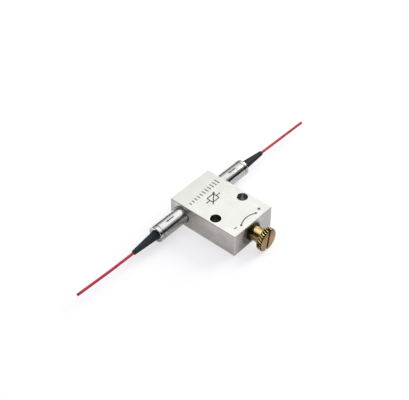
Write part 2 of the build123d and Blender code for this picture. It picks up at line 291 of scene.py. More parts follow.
def make_fibre(name):
    """The fibre itself: bare glass in the ferrule, then coated to the jacket's cut end."""
    side = SIDES[name]
    inner = np.array([(BEAM_X, side * y, AXIS_Z) for y in (6.4, 11.0, 11.05, 13.0)])
    line = np.vstack([inner, pigtail_lines[name]])
    radii = np.full(len(line), COATING_RADIUS)
    radii[:2] = GLASS_RADIUS
    rings = with_ends(carried(line, radii, columns=20))
    fibre = piece_from_grid(f"{name}_coated_fibre", rings, "block")
    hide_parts(f"{name}_fibre")
    return fibre


for name, side in SIDES.items():
    jacket = make_jacket(name)
    fibre = make_fibre(name)

# %% [markdown]
# Each barrel is a polished steel tube, closed by an end cap whose seam shows as a fine ring.

# %% Barrels and end caps
BARREL_FOOT, BARREL_BORE, BARREL_STEP, BARREL_SEAT = 1.7, 1.43, 15.6, 2.08
CAP_FOOT, CAP_SPIGOT, CAP_BORE = 16.7, 2.05, 1.18
barrel_outline = eased(
    [
        (BARREL_FOOT, BARREL_BORE),
        (BARREL_FOOT, BARREL_RADIUS),
        (CAP_SEAM, BARREL_RADIUS),
        (CAP_SEAM, BARREL_SEAT),
        (BARREL_STEP, BARREL_SEAT),
        (BARREL_STEP, BARREL_BORE),
    ],
    [0.02, 0.1, 0.11, 0.02, 0.02, 0.02],
)
cap_outline = eased(
    [
        (CAP_FOOT, CAP_BORE),
        (CAP_FOOT, CAP_SPIGOT),
        (CAP_SEAM, CAP_SPIGOT),
        (CAP_SEAM, BARREL_RADIUS),
        (MOUTH, BARREL_RADIUS),
        (MOUTH, CAP_BORE),
    ],
    [0.02, 0.02, 0.02, 0.11, 0.34, 0.05],
)

for name, side in SIDES.items():
    barrel_points = along_fibre(barrel_outline, side)
    barrel = piece_from_grid(f"{name}_polished_barrel", barrel_points, "block", loop_rows=True)
    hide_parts(f"{name}_barrel")

    cap_points = along_fibre(cap_outline, side)
    cap = piece_from_grid(f"{name}_turned_cap", cap_points, "block", loop_rows=True)
    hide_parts(f"{name}_end_cap")

# %% [markdown]
# The boot that grips the pigtail is moulded rubber. Its outside is a straight cone plus a small skirt that
# dies away from the cap, which one formula gives. A real boot bends with its tube, so its points then move
# with the pigtail's line.


# %% Boots
def with_the_pigtail(points, name):
    """Moves each point aside and down as far as the pigtail's line has left the barrel's axis at its Y."""
    side = SIDES[name]
    line = pigtail_lines[name]
    out = side * points[..., 1]
    moved = points.copy()
    moved[..., 0] += np.interp(out, side * line[:, 1], line[:, 0] - BEAM_X)
    moved[..., 2] += np.interp(out, side * line[:, 1], line[:, 2] - AXIS_Z)
    return moved


BOOT_TIP, BOOT_BARB = 31.0, 15.9
BOOT_BORE, BARB_RADIUS = 0.48, 1.15
CONE_LENGTH, CONE_RADIUS, CONE_SLOPE = 9.78, 1.515, 0.0745
SKIRT_RISE, SKIRT_REACH = 0.135, 0.5

out = np.linspace(0, CONE_LENGTH, 64)
cone = CONE_RADIUS - CONE_SLOPE * out
skirt = SKIRT_RISE * np.exp(-((out / SKIRT_REACH) ** 2))
boot_skin = np.stack([MOUTH + out, cone + skirt], axis=1)
boot_ends = eased(
    [(BOOT_TIP, 0.782), (BOOT_TIP, BOOT_BORE), (BOOT_BARB, BOOT_BORE), (BOOT_BARB, BARB_RADIUS)],
    [0.12, 0.05, 0.02, 0.02],
)
boot_bore = np.stack([np.linspace(30.5, 16.5, 29), np.full(29, BOOT_BORE)], axis=1)
boot_barb = np.array([(CAP_FOOT, 1.45), (CAP_FOOT, BARB_RADIUS), (MOUTH, BARB_RADIUS)])
at_tip = 2 * EASE_STEPS
boot_outline = np.vstack([boot_skin, boot_ends[:at_tip], boot_bore, boot_ends[at_tip:], boot_barb])

for name, side in SIDES.items():
    boot_points = with_the_pigtail(along_fibre(boot_outline, side, columns=96), name)
    boot = piece_from_grid(f"{name}_moulded_boot", boot_points, "block", loop_rows=True)
    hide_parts(f"{name}_boot")

# %% [markdown]
# The rubber seal that wipes the screw's neck is a plain ring with soft lips.

# %% Seal
ALONG_X, ALONG_Y = np.array([1, 0, 0]), np.array([0, 1, 0])
seal_outline = eased([(9.0, 2.55), (9.0, 3.15), (10.2, 3.15), (10.2, 2.55)], [0.05, 0.05, 0.2, 0.16])
seal_points = turned(seal_outline, 128, (0, 0, AXIS_Z), ALONG_X, ALONG_Y)
seal = piece_from_grid("neck_wiper_seal", seal_points, "block", loop_rows=True)
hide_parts("wiper_seal")

# %% [markdown]
# The thumb screw is one turned brass part. Its rim carries a coarse knurl that leans like a thread. Every
# point of the rim takes the smaller of two radii: that of the turned outline, and that of a cylinder with
# grooves in it. The columns of the grid lean with the grooves, so each ridge keeps a clean edge.

# %% Thumb screw
KNURL_RIDGES, COLUMNS_PER_RIDGE = 28, 16
KNURL_DEPTH, KNURL_LAND = 0.29, 0.06
KNURL_LEAN = np.radians(20.0)
screw_corners = [
    (HEAD_FACE, 0.0),
    (HEAD_FACE, 3.6),
    (15.62, HEAD_RADIUS),
    (HEAD_BACK, HEAD_RADIUS),
    (HEAD_BACK, NECK_RADIUS),
    (6.6, NECK_RADIUS),
    (6.6, 1.7),
    (5.8, 1.7),
    (5.8, 2.0),
    (-2.0, 2.0),
    (-2.0, 0.78),
    (1.0, 0.78),
    (1.0, 0.0),
]
screw_easing = [0.0, 0.04, 0.06, 0.45, 0.06, 0.05, 0.03, 0.03, 0.03, 0.3, 0.03, 0.03, 0.0]
screw_outline = eased(screw_corners, screw_easing)
rim = np.stack([np.linspace(15.55, 14.57, 16), np.full(16, HEAD_RADIUS)], axis=1)
before_rim = 3 * EASE_STEPS
screw_outline = np.vstack([screw_outline[:before_rim], rim, screw_outline[before_rim:]])
rim_share = np.clip((screw_outline[:, 0] - HEAD_BACK) / (HEAD_FACE - HEAD_BACK), 0, 1)
knurl_twist = (rim_share - 1) * (HEAD_FACE - HEAD_BACK) * np.tan(KNURL_LEAN) / HEAD_RADIUS
screw_columns = KNURL_RIDGES * COLUMNS_PER_RIDGE
screw_points = turned(screw_outline, screw_columns, (0, 0, AXIS_Z), ALONG_X, ALONG_Y, knurl_twist)
print("rows and columns of the screw:", screw_points.shape[:2])


def knurled(points, outline):
    """Presses the grooves into the rim. In groove units w, from 0 at its middle to 1 at its edge, the
    cylinder's radius is R - depth (1 - w), and the point keeps the smaller of this and its own."""
    pitch = 2 * np.pi * HEAD_RADIUS / KNURL_RIDGES
    phase = np.arange(points.shape[1]) / COLUMNS_PER_RIDGE
    away = np.abs(phase - np.round(phase)) * pitch
    depth = KNURL_DEPTH * np.clip(1 - away / (pitch / 2 - KNURL_LAND), 0, 1)
    grooved = HEAD_RADIUS - depth[None, :]
    radius = np.hypot(points[..., 1], points[..., 2] - AXIS_Z)
    in_rim = (outline[:, :1] >= HEAD_BACK) & (radius > 3.0)
    shrink = np.where(in_rim, np.minimum(radius, grooved) / np.maximum(radius, 1e-9), 1.0)
    pressed = points.copy()
    pressed[..., 1] *= shrink
    pressed[..., 2] = AXIS_Z + (points[..., 2] - AXIS_Z) * shrink
    return pressed


screw = piece_from_grid("thumb_screw_turned", knurled(screw_points, screw_outline), "screw")
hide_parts("thumb_screw")

# %% [markdown]
# The screwdriver slot is cut as a saw would cut it: a long bar is taken out of the head. The bar opens a
# little at the face, which bevels both edges of the slot.

# %% Screwdriver slot
SLOT_HALF, SLOT_BEVEL = 0.525, 0.08
SLOT_FLOOR, PAST_HEAD = 14.95, 17.0
lean = np.radians(11.0)
slot_along = np.array([0.0, np.sin(lean), np.cos(lean)])
slot_across = np.array([0.0, np.cos(lean), -np.sin(lean)])
half_section = np.array(
    [
        (SLOT_FLOOR, SLOT_HALF),
        (HEAD_FACE - 0.05, SLOT_HALF),
        (HEAD_FACE + 0.05, SLOT_HALF + SLOT_BEVEL),
        (PAST_HEAD, SLOT_HALF + SLOT_BEVEL),
    ]
)
bar_section = np.vstack([half_section * (1, -1), half_section[::-1]])
bar_places = np.array([-6.0, 6.0])
bar = (
    np.array([0.0, 0.0, AXIS_Z])
    + bar_places[:, None, None] * slot_along
    + bar_section[None, :, :1] * ALONG_X
    + bar_section[None, :, 1:] * slot_across
)
cutter = piece_from_grid("slot_saw", with_ends(bar), "screw")
saw = screw.modifiers.new("slot", "BOOLEAN")
saw.operation = "DIFFERENCE"
saw.solver = "EXACT"
saw.object = cutter
evaluated = screw.evaluated_get(bpy.context.evaluated_depsgraph_get())
cut = bpy.data.meshes.new_from_object(evaluated)
screw.modifiers.remove(saw)
bpy.data.objects.remove(cutter)
cut.name = "thumb_screw_turned"
screw.data = cut
finish_mesh(cut)
print("thumb screw with its slot:", len(cut.polygons), "faces")

# %% [markdown]
# The spring behind the washer is drawn wire wound into a helix, and its two end turns are ground flat on
# their seats. It sits between the block, which never moves, and the washer, which slides with the screw.

# %% Return spring
SPRING_TURNS, POINTS_PER_TURN = 6, 40
GROUND = 0.005
spring_start, spring_end = -8.24, -2.4
wire_radius, coil_radius = 0.15, 1.325
coil_share = np.linspace(0, 1, SPRING_TURNS * POINTS_PER_TURN + 1)
coil_angle = coil_share * SPRING_TURNS * 2 * np.pi
coil_line = np.stack(
    [
        spring_start + wire_radius + coil_share * (spring_end - spring_start - 2 * wire_radius),
        coil_radius * np.cos(coil_angle),
        AXIS_Z + coil_radius * np.sin(coil_angle),
    ],
    axis=1,
)
wire = carried(coil_line, np.full(len(coil_line), wire_radius), columns=14, lie=(1.0, 0.0, 0.0))
wire[..., 0] = np.clip(wire[..., 0], spring_start + GROUND, spring_end - GROUND)
spring = piece_from_grid("wound_return_spring", with_ends(wire))
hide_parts("return_spring")

# %% [markdown]
# A part for everyone carries marks that any attenuator could have: a row of rising ticks, the drawing
# symbol for a variable attenuator, the way the screw turns, and an arrow on each barrel for the way of the
# light. Each is drawn flat, as strokes along paths, and a lay puts it on its surface. A stroke is a very
# thin slab, which stays sharp from any distance.


# %% Strokes
MARK_WIDTH, MARK_HEAD = 0.38, 1.05
MARK_RISE, MARK_ROOT = 0.006, -0.018
ARROW_ANGLE = np.radians(10.5)


def on_the_top(x, y, rise):
    """A flat drawing laid on the block's top."""
    return np.stack([x, y, BLOCK_TOP + rise + 0 * x], axis=-1)


def on_a_barrel(x, y, rise):
    """A flat drawing wrapped round a barrel: x millimetres across it are x / R radians about its axis."""
    angle = ARROW_ANGLE + x / BARREL_RADIUS
    reach = BARREL_RADIUS + rise
    return np.stack([BEAM_X + reach * np.sin(angle), y, AXIS_Z + reach * np.cos(angle)], axis=-1)


def stroke(name, path, width=MARK_WIDTH, lay=on_the_top):
    """A slab along a path. Its section reaches half the width to either side, and from a little below the
    surface to a little above it. A width that shrinks to nothing makes a head for an arrow."""
    path = np.asarray(path, float)
    direction = np.gradient(path, axis=0)
    direction /= np.linalg.norm(direction, axis=1)[:, None]
    half = np.broadcast_to(np.asarray(width, float) / 2, len(path))
    aside = np.stack([-direction[:, 1], direction[:, 0]], axis=1) * half[:, None]
    way = np.array([1, 0.5, 0, -0.5, -1, -1, 0, 1])
    rise = np.where(np.arange(8) < 5, MARK_RISE, MARK_ROOT)
    flat = path[:, None] + aside[:, None] * way[None, :, None]
    laid = lay(flat[..., 0], flat[..., 1], rise[None, :])
    mark = piece_from_grid(name, with_ends(laid), "block")
    return mark


def arrow(name, path, width=MARK_WIDTH, head=MARK_HEAD, lay=on_the_top):
    """A stroke with a head, as wide as it is long, that goes on in the direction in which the path ends."""
    path = np.asarray(path, float)
    onward = (path[-1] - path[-2]) / np.linalg.norm(path[-1] - path[-2])
    shaft = stroke(f"{name}_shaft", path, width, lay)
    tip = stroke(f"{name}_head", [path[-1], path[-1] + onward * head], [head, 0.0], lay)
    return [shaft, tip]


# %% [markdown]
# The drawings themselves, laid out along Y as the fibre runs. The symbol is a box on the line of the fibre
# with an arrow across it, which means that its effect can be set. An arc on either side of the screw's axis
# ends in an arrow, with a minus beside one and a plus beside the other.

# %% Marks
marks = []
for number, y in enumerate(np.linspace(-6.7, 6.7, 11)):
    height = 1.0 + 0.12 * number
    marks.append(stroke(f"level_tick_{number:02d}", [(-9.7, y), (-9.7 - height, y)]))

BOX_X = (-5.35, -7.85)
BOX_Y = 1.5
LEAD_X, LEAD_END = -6.6, 3.3
box_corners = [(BOX_X[0], -BOX_Y), (BOX_X[1], -BOX_Y), (BOX_X[1], BOX_Y), (BOX_X[0], BOX_Y)]
for number, ends in enumerate(zip(box_corners, box_corners[1:] + box_corners[:1])):
    marks.append(stroke(f"symbol_box_{number}", ends))
marks.append(stroke("symbol_lead_in", [(LEAD_X, BOX_Y), (LEAD_X, LEAD_END)]))
marks.append(stroke("symbol_lead_out", [(LEAD_X, -BOX_Y), (LEAD_X, -LEAD_END)]))
marks += arrow("symbol_setting", [(-4.7, -2.2), (-7.8, 1.7)])

SIGN_X, SIGN_Y, SIGN_HALF = 7.4, 5.7, 0.6
for name, way in (("turn_less", -1), ("turn_more", 1)):
    y = np.linspace(0.0, 3.3, 12)
    marks += arrow(name, np.stack([6.9 + 0.08 * y**2, way * y], axis=1))
    dash = [(SIGN_X, way * (SIGN_Y - SIGN_HALF)), (SIGN_X, way * (SIGN_Y + SIGN_HALF))]
    marks.append(stroke(f"{name}_dash", dash))
upright = [(SIGN_X - SIGN_HALF, SIGN_Y), (SIGN_X + SIGN_HALF, SIGN_Y)]
marks.append(stroke("turn_more_upright", upright))

for name, start, end in (("input_arrow", 16.8, 14.2), ("output_arrow", -13.3, -15.8)):
    marks += arrow(name, [(0.0, start), (0.0, end)], 0.42, 1.1, on_a_barrel)
print(len(marks), "marks")

# %% [markdown]
# Now the finishes. A few small helpers keep the node trees readable: one fills a socket with a value or a
# link, one adds a node, one does sums, one mixes two colours, one moves a range of values to another and
# one makes noise. A mask is a value from 0 to 1, so the product of two masks is what both of them cover.


# %% Node helpers
MM_PER_METRE = 1000.0


def fill(tree, socket, value):
    """Links an output into a socket, or sets the socket's own value."""
    if isinstance(value, bpy.types.NodeSocket):
        tree.links.new(value, socket)
    else:
        socket.default_value = value


def node(tree, kind, settings=None, **sockets):
    """Adds a shader node. Its sockets are given by name, with _ for a space."""
    made = tree.nodes.new(f"ShaderNode{kind}")
    for name, value in (settings or {}).items():
        setattr(made, name, value)
    for name, value in sockets.items():
        fill(tree, made.inputs[name.replace("_", " ")], value)
    return made


def sums(tree, operation, *values, kind="Math"):
    """One step of arithmetic on the values, or on vectors where the kind is VectorMath."""
    made = node(tree, kind, {"operation": operation})
    for socket, value in zip(made.inputs, values):
        fill(tree, socket, value)
    return made.outputs[0]


def product(tree, first, second):
    """The first value times the second."""
    return sums(tree, "MULTIPLY", first, second)


def mixed(tree, share, first, second):
    """The colour that lies that share of the way from the first to the second."""
    made = node(tree, "Mix", {"data_type": "RGBA"})
    fill(tree, made.inputs[0], share)
    fill(tree, made.inputs[6], first)
    fill(tree, made.inputs[7], second)
    return made.outputs[2]


def spread(tree, value, low, high, to_low=0.0, to_high=1.0):
    """The value's range from low to high, moved to another range and held there."""
    ends = {"From_Min": low, "From_Max": high, "To_Min": to_low, "To_Max": to_high}
    return node(tree, "MapRange", Value=value, **ends).outputs[0]


def noise(tree, place, per_mm, settings=None, **sockets):
    """Value of a noise texture whose scale is given per millimetre."""
    scale = product(tree, per_mm, MM_PER_METRE)
    return node(tree, "TexNoise", settings, Vector=place, Scale=scale, **sockets).outputs[0]


def distance(tree, first, second):
    """Length of the two values taken as the sides of a right angle."""
    squares = [sums(tree, "POWER", value, 2.0) for value in (first, second)]
    return sums(tree, "SQRT", sums(tree, "ADD", *squares))


def shader_group(name, inputs, outputs):
    """An empty group with named sockets. Returns its tree, what comes in and what goes out."""
    tree = bpy.data.node_groups.new(name, "ShaderNodeTree")
    for label, kind, value in inputs:
        socket = tree.interface.new_socket(label, in_out="INPUT", socket_type=f"NodeSocket{kind}")
        if value is not None:
            socket.default_value = value
    for label, kind in outputs:
        tree.interface.new_socket(label, in_out="OUTPUT", socket_type=f"NodeSocket{kind}")
    return tree, tree.nodes.new("NodeGroupInput").outputs, tree.nodes.new("NodeGroupOutput").inputs


# %% [markdown]
# Metal parts share a few effects, so each effect is a group that is made once. The first is what a lathe
# tool leaves: fine lines that change along the axis and with the radius, and not round the part.

# %% Turned lines
turned_lines, coming, going = shader_group(
    "turned lines",
    [("Vector", "Vector", None), ("Lines per mm", "Float", 8.0)],
    [("Height", "Float")],
)
place = node(turned_lines, "SeparateXYZ", Vector=coming["Vector"]).outputs
radius = distance(turned_lines, place[1], place[2])
line_place = node(turned_lines, "CombineXYZ", X=place[0], Y=radius).outputs[0]
flat_noise = {"noise_dimensions": "2D"}
height = noise(turned_lines, line_place, coming["Lines per mm"], flat_noise, Detail=2.0, Roughness=0.6)
fill(turned_lines, going["Height"], height)

# %% [markdown]
# Fine grain is the even tooth of a tumbled, filed or moulded surface. Its stretch draws the grains out into
# strokes, as a file leaves them.

# %% Fine grain
fine_grain, coming, going = shader_group(
    "fine grain",
    [("Vector", "Vector", None), ("Grains per mm", "Float", 6.0), ("Stretch", "Vector", (1.0, 1.0, 1.0))],
    [("Height", "Float"), ("Tone", "Float")],
)
stretched = sums(fine_grain, "MULTIPLY", coming["Vector"], coming["Stretch"], kind="VectorMath")
height = noise(fine_grain, stretched, coming["Grains per mm"], Detail=3.0, Roughness=0.65)
fill(fine_grain, going["Height"], height)
fill(fine_grain, going["Tone"], spread(fine_grain, height, 0.3, 0.7))

# %% [markdown]
# Handling is the slow change of gloss and tone that fingers, cleaning and age leave, in soft patches.

# %% Handling
handling, coming, going = shader_group(
    "handling",
    [("Vector", "Vector", None), ("Patches per mm", "Float", 0.25)],
    [("Mask", "Float")],
)
softness = {"Detail": 4.0, "Roughness": 0.55, "Distortion": 0.4}
patches = noise(handling, coming["Vector"], coming["Patches per mm"], **softness)
fill(handling, going["Mask"], spread(handling, patches, 0.35, 0.65))

# %% [markdown]
# Edges are rubbed bright first. Blender's Bevel node gives a normal averaged over a small radius, so where
# it parts from the true normal there is an edge. The grain breaks the rubbed line up.

# %% Worn edges
worn_edges, coming, going = shader_group(
    "worn edges",
    [("Radius", "Float", 0.00015), ("Grain", "Float", 0.5)],
    [("Mask", "Float")],
)
bevel = node(worn_edges, "Bevel", {"samples": 4}, Radius=coming["Radius"])
true_normal = node(worn_edges, "NewGeometry").outputs["Normal"]
agreement = node(worn_edges, "VectorMath", {"operation": "DOT_PRODUCT"})
fill(worn_edges, agreement.inputs[0], bevel.outputs[0])
fill(worn_edges, agreement.inputs[1], true_normal)
edge = spread(worn_edges, agreement.outputs["Value"], 0.99, 0.85)
broken = spread(worn_edges, coming["Grain"], 0.25, 0.6, 0.35, 1.0)
fill(worn_edges, going["Mask"], product(worn_edges, edge, broken))

# %% [markdown]
# More helpers: one starts a finish, one gives the place on the piece, from which every pattern here is
# worked out, one puts a group to use, one makes a bump of a known depth, one writes a colour, and the last
# two fill the sockets for colour and roughness.


# %% Finish helpers
def finish(name, **sockets):
    """A material with its Principled shader's sockets filled. Returns material, tree and shader."""
    material = bpy.data.materials.new(name)
    material.use_nodes = True
    tree = material.node_tree
    shader = tree.nodes["Principled BSDF"]
    for label, value in sockets.items():
        fill(tree, shader.inputs[label.replace("_", " ")], value)
    return material, tree, shader


def place_on(tree, centre=(0.0, 0.0, 0.0), turn=(0.0, 0.0, 0.0)):
    """Object coordinates, moved so that this centre in millimetres is at zero, and turned."""
    seen = node(tree, "TexCoord").outputs["Object"]
    moved = sums(tree, "SUBTRACT", seen, tuple(c * MM for c in centre), kind="VectorMath")
    return node(tree, "Mapping", Vector=moved, Rotation=turn).outputs[0]


def use(tree, group, output, **sockets):
    """Places a shader group in a material and returns one of its outputs."""
    return node(tree, "Group", {"node_tree": group}, **sockets).outputs[output]


def bump(tree, shader, height, depth):
    """Feeds a height, whose full range is that depth in millimetres, to the shader's normal."""
    raised = node(tree, "Bump", Height=height, Distance=depth * MM, Strength=1.0)
    fill(tree, shader.inputs["Normal"], raised.outputs[0])


def tone(red, green, blue):
    """A colour for a colour socket."""
    return (red, green, blue, 1.0)


def surface(tree, shader, colour, roughness):
    """Feeds a colour and a roughness to the shader."""
    fill(tree, shader.inputs["Base Color"], colour)
    fill(tree, shader.inputs["Roughness"], roughness)


def two_tone(tree, shader, mask, colours, roughness):
    """A surface whose colour and roughness both go from the first to the second with the mask."""
    surface(tree, shader, mixed(tree, mask, *colours), spread(tree, mask, 0.0, 1.0, *roughness))


# %% [markdown]
# The block is machined metal. Its top is tumbled to a pale matte, with a painted shade that darkens it
# towards its left end. Its sides are as the cutter left them, duller and a little blotched, with painted
# light and shade: paler towards the top and darker lower down, and greyer towards the back. The left end
# face is greyer too. All of this follows from the place alone, and each tone is laid over the last by a
# mask that says where.

# %% Block top and sides
block_metal, tree, shader = finish("block_metal", Metallic=1.0)
where = place_on(tree)
axes = node(tree, "SeparateXYZ", Vector=where).outputs
tooth = use(tree, fine_grain, "Height", Vector=where, Grains_per_mm=5.0)
grain = use(tree, fine_grain, "Tone", Vector=where, Grains_per_mm=1.1)
patch = use(tree, handling, "Mask", Vector=where, Patches_per_mm=0.22)

top = mixed(tree, patch, tone(0.80, 0.80, 0.755), tone(0.86, 0.86, 0.815))
top = mixed(tree, product(tree, grain, 0.3), top, tone(0.74, 0.74, 0.70))
# Painted shade: the top darker towards its left end.
top_shade_at_left = spread(tree, axes[0], -9 * MM, -17 * MM, 0.0, 0.5)
top = mixed(tree, top_shade_at_left, top, tone(0.70, 0.70, 0.66))

side = mixed(tree, patch, tone(0.61, 0.57, 0.545), tone(0.76, 0.74, 0.70))
side = mixed(tree, product(tree, grain, 0.55), side, tone(0.49, 0.47, 0.45))
# Painted light and shade: the sides paler towards the top and darker lower down.
high_up = spread(tree, axes[2], 4 * MM, 8 * MM, 0.0, 0.5)
side = mixed(tree, high_up, side, tone(0.76, 0.75, 0.73))
# Painted shade: the sides greyer towards the back. The left end face is greyer too.
at_back = spread(tree, axes[1], -3 * MM, 5 * MM)
on_left_face = spread(tree, axes[0], -14.4 * MM, -15.6 * MM, 0.0, 0.8)
greyer = product(tree, sums(tree, "MAXIMUM", at_back, on_left_face), 0.85)
side = mixed(tree, greyer, side, tone(0.43, 0.43, 0.415))

# %% [markdown]
# Where the screw comes out, a painted shadow of the head and neck lies on the face: a dark ring close to
# the seal and a wide, fainter shade lower down. Each is a round patch: the distance from its middle, with
# soft ends.

# %% Painted shadow by the screw
on_screw_face = spread(tree, axes[0], (SCREW_FACE_X - 0.2) * MM, (SCREW_FACE_X - 0.05) * MM)


def round_shadow(y, z, clear, full):
    """Mask on the screw's face: 0 beyond one distance from a point, and 1 within the other, all in mm."""
    aside = sums(tree, "SUBTRACT", axes[1], y * MM)
    above = sums(tree, "SUBTRACT", axes[2], z * MM)
    return product(tree, spread(tree, distance(tree, aside, above), clear * MM, full * MM), on_screw_face)


# Painted shadow of the head and neck: a wide, faint patch and a dark ring by the seal.
side = mixed(tree, round_shadow(-2.0, 2.3, clear=6.2, full=3.2), side, tone(0.40, 0.37, 0.345))
side = mixed(tree, round_shadow(-1.0, 4.4, clear=4.7, full=3.6), side, tone(0.15, 0.16, 0.165))

# %% [markdown]
# The holes get a painted shade inside, the nearer one all over and the farther one on two sides that face
# each other.
# The distance from a hole's axis tells its wall from the rest of the block. Height tells the sides, which
# are rougher, from the top. The holes are smooth.

# %% Block holes and gloss
hole_y = sums(tree, "SUBTRACT", sums(tree, "ABSOLUTE", axes[1]), HOLE_Y * MM)
from_hole = distance(tree, axes[0], hole_y)
in_hole = spread(tree, from_hole, (HOLE_RADIUS + 0.08) * MM, (HOLE_RADIUS + 0.03) * MM)
# Painted shade: the farther hole darker on two sides that face each other.
aslant = sums(tree, "ADD", product(tree, axes[0], 0.755), product(tree, hole_y, 0.655))
hole_side_shade = spread(tree, sums(tree, "ABSOLUTE", aslant), 1.1 * MM, 1.5 * MM, 0.0, 0.7)
far_hole_shade = mixed(tree, hole_side_shade, tone(0.62, 0.63, 0.62), tone(0.14, 0.15, 0.145))
# Painted shade: the nearer hole darker all over.
painted_hole_shade = mixed(tree, spread(tree, axes[1], -4 * MM, 4 * MM), tone(0.26, 0.275, 0.27), far_hole_shade)

ON_SIDE, ON_TOP = (BLOCK_TOP - 0.14) * MM, (BLOCK_TOP - 0.08) * MM
worn = use(tree, worn_edges, "Mask", Radius=0.0001, Grain=tooth)
base = mixed(tree, spread(tree, axes[2], ON_SIDE, ON_TOP), side, top)
base = mixed(tree, worn, base, tone(0.9, 0.9, 0.86))
side_share = spread(tree, axes[2], ON_TOP, ON_SIDE, 0.0, 1.6)
duller = sums(tree, "ADD", sums(tree, "ADD", patch, grain), side_share)
roughness = spread(tree, duller, 0.0, 3.6, 0.27, 0.48)
polish = spread(tree, in_hole, 0.0, 1.0, 1.0, 0.4)
surface(tree, shader, mixed(tree, in_hole, base, painted_hole_shade), product(tree, roughness, polish))
bump(tree, shader, tooth, 0.004)

# %% [markdown]
# The barrels are turned and polished, so they mirror the room in long bands along their length. Below the
# strip along their top they get a painted shade, and the farther one also on the right of that strip. Dirt
# stays in the seam of each end cap. One rule serves both barrels, since the distance from the seam comes
# from the size of Y, whichever its sign. The pattern is turned to lie along the barrel.

# %% Barrel finish
barrel_steel, tree, shader = finish("barrel_steel", Metallic=1.0)
where = place_on(tree, centre=(BEAM_X, 0.0, AXIS_Z), turn=(0.0, 0.0, np.pi / 2))
lines = use(tree, turned_lines, "Height", Vector=where, Lines_per_mm=9.0)
patch = use(tree, handling, "Mask", Vector=where, Patches_per_mm=0.3)
axes = node(tree, "SeparateXYZ", Vector=where).outputs

steel = mixed(tree, patch, tone(0.62, 0.625, 0.605), tone(0.67, 0.675, 0.65))
# Painted shade on the right of the farther barrel's top strip.
right_flank = spread(tree, axes[1], 0.2 * MM, 1.0 * MM)
far_barrel = spread(tree, axes[0], 5 * MM, -5 * MM)
steel = mixed(tree, product(tree, right_flank, far_barrel), steel, tone(0.54, 0.545, 0.525))
# Painted shade below the top strip of both barrels.
underside_shade = spread(tree, axes[2], 2.0 * MM, 0.7 * MM)
steel = mixed(tree, underside_shade, steel, tone(0.43, 0.43, 0.42))
from_seam = sums(tree, "SUBTRACT", sums(tree, "ABSOLUTE", axes[0]), CAP_SEAM * MM)
seam = spread(tree, sums(tree, "ABSOLUTE", from_seam), 0.2 * MM, 0.07 * MM)
steel = mixed(tree, seam, steel, tone(0.16, 0.155, 0.135))
surface(tree, shader, steel, spread(tree, sums(tree, "ADD", patch, lines), 0.3, 1.7, 0.13, 0.19))
bump(tree, shader, lines, 0.0004)

# %% [markdown]
# The screw is brass. Its neck and the lands of its knurl stay bright on top, and a painted shade darkens
# them lower down. The face of its head is brown, darker towards the top, and shows the straight strokes of
# the file that finished it. The slot gets painted light and shade: a golden brown, paler at its lower end.
# The grooves and the narrow bevel before them get a painted shade, nearly black. First come the masks,
# from the distance along the screw, the radius and the height.

# %% Places on the screw
screw_brass, tree, shader = finish("screw_brass", Metallic=1.0)
where = place_on(tree, centre=(0.0, 0.0, AXIS_Z))
axes = node(tree, "SeparateXYZ", Vector=where).outputs
radius = distance(tree, axes[1], axes[2])

on_face = spread(tree, axes[0], (HEAD_FACE - 0.05) * MM, (HEAD_FACE - 0.01) * MM)
off_face = sums(tree, "SUBTRACT", 1.0, on_face)
past_floor = spread(tree, axes[0], (SLOT_FLOOR - 0.05) * MM, (SLOT_FLOOR - 0.01) * MM)
within_rim = spread(tree, radius, 3.6 * MM, 3.5 * MM)
in_slot = product(tree, product(tree, past_floor, within_rim), off_face)
near_rim = product(tree, spread(tree, radius, 3.5 * MM, 3.6 * MM), off_face)
below_lands = spread(tree, radius, (HEAD_RADIUS - 0.05) * MM, (HEAD_RADIUS - 0.15) * MM)
# Painted shade mask: the grooves and the bevel before them.
groove_shade = product(tree, below_lands, near_rim)
# Painted shade: the neck and the lands darker lower down.
low_shade = spread(tree, axes[2], 2.1 * MM, 1.0 * MM, 0.0, 0.7)
high_up = spread(tree, axes[2], 0.5 * MM, 3.2 * MM)

# %% [markdown]
# The tones of the screw, laid over each other by those masks.

# %% Screw finish
lines = use(tree, turned_lines, "Height", Vector=where, Lines_per_mm=10.0)
patch = use(tree, handling, "Mask", Vector=where, Patches_per_mm=0.5)
worn = use(tree, worn_edges, "Mask", Radius=0.00008, Grain=0.6)
filed = place_on(tree, centre=(0.0, 0.0, AXIS_Z), turn=(float(lean), 0.0, 0.0))
strokes = use(tree, fine_grain, "Tone", Vector=filed, Grains_per_mm=3.6, Stretch=(1.0, 1.0, 0.1))

bright = mixed(tree, patch, tone(0.70, 0.53, 0.20), tone(0.78, 0.61, 0.25))
bright = mixed(tree, worn, bright, tone(0.9, 0.76, 0.4))
# Painted shade lower down.
bright = mixed(tree, low_shade, bright, tone(0.40, 0.29, 0.14))
dull = mixed(tree, strokes, tone(0.26, 0.175, 0.075), tone(0.42, 0.29, 0.135))
# The face darker towards the top.
dull = mixed(tree, high_up, dull, tone(0.17, 0.125, 0.06))
# Painted light and shade in the slot: paler at its lower end.
slot = mixed(tree, high_up, tone(0.50, 0.36, 0.19), tone(0.38, 0.26, 0.13))
base = mixed(tree, on_face, bright, dull)
base = mixed(tree, in_slot, base, slot)
# Painted shade in the grooves and on the bevel before them.
base = mixed(tree, groove_shade, base, tone(0.045, 0.03, 0.015))
gloss = sums(tree, "ADD", product(tree, patch, 0.05), product(tree, on_face, 0.26))
surface(tree, shader, base, sums(tree, "ADD", gloss, 0.075))
faint_lines = product(tree, product(tree, lines, off_face), 0.1)
relief = sums(tree, "ADD", product(tree, strokes, on_face), faint_lines)
bump(tree, shader, relief, 0.003)

# %% [markdown]
# Rubber and plastic. The boots and the seal are black rubber with a faint cool tint and a soft sheen, and
# a painted light makes the nearer boot a little lighter. The pigtail is a red plastic tube, a little
# glossy, with faint lines along it from the die it was drawn through.

